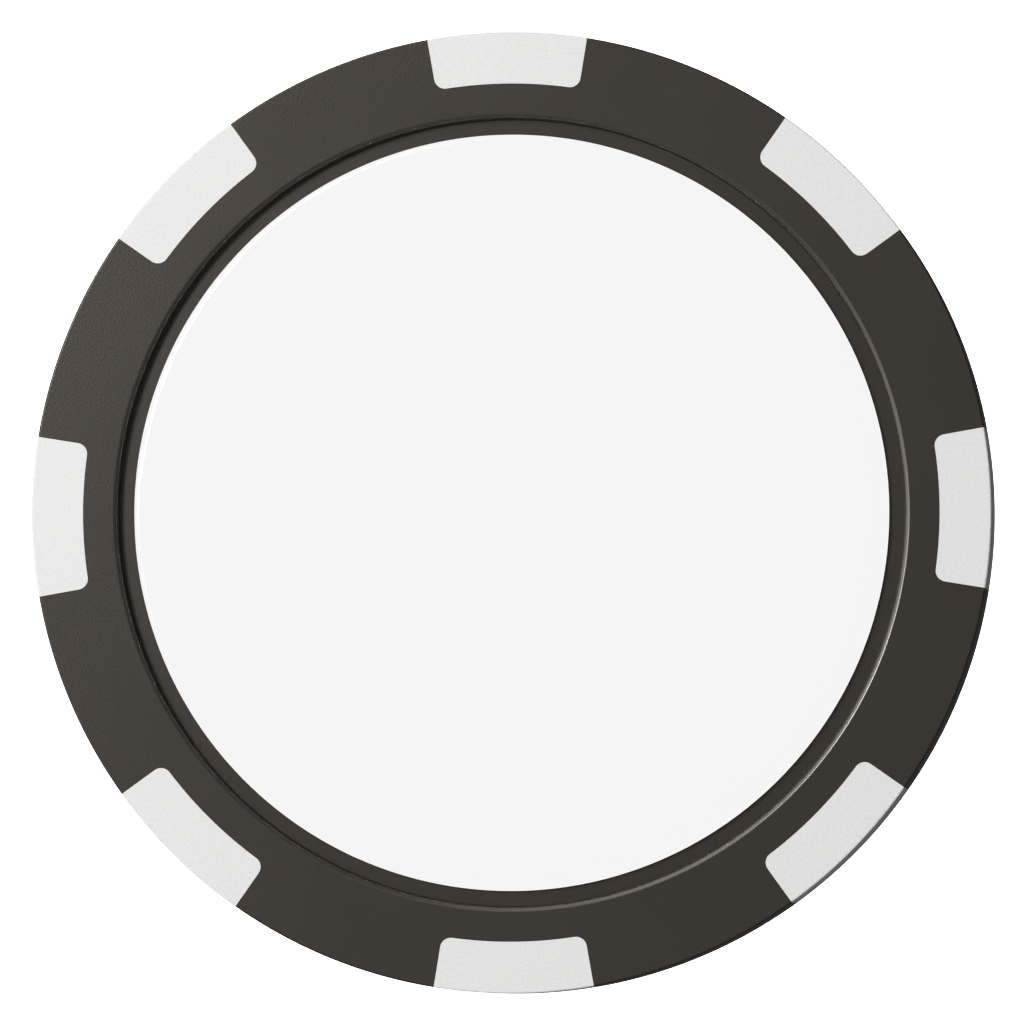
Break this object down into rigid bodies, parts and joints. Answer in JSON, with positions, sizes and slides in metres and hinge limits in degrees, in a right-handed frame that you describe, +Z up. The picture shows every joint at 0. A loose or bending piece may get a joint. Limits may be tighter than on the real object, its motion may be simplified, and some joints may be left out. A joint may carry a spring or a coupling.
{
  "type": "dealer button",
  "caption": "Flat round two-sided table marker with a dark moulded body, white spots through its rim and a blank glossy label recessed in each face.",
  "frame": {"origin": "centre of the underside, on the button's axis, where it rests on the table", "axes": "+Z up through the button's axis from the back face to the front face; +X and +Y each pass through the middle of an edge spot"},
  "size_m": [0.0508, 0.0508, 0.005],
  "materials": {
    "dark_composite": "satin, very fine moulded grain, warm dark grey",
    "white_composite": "satin white with a faint fine speckle",
    "steel": "zinc-plated stamped disc, hidden",
    "adhesive_film": "milky acrylic transfer film, hidden",
    "white_label": "blank white vinyl",
    "clear_dome": "clear glossy resin with a rounded edge"
  },
  "bodies": {
    "root": {"body": "dark_composite", "edge_spot_1": "white_composite", "edge_spot_2": "white_composite", "edge_spot_3": "white_composite", "edge_spot_4": "white_composite", "edge_spot_5": "white_composite", "edge_spot_6": "white_composite", "edge_spot_7": "white_composite", "edge_spot_8": "white_composite", "weight_slug": "steel", "front_label_adhesive": "adhesive_film", "front_label": "white_label", "front_dome": "clear_dome", "back_label_adhesive": "adhesive_film", "back_label": "white_label", "back_dome": "clear_dome"}
  },
  "joints": []
}
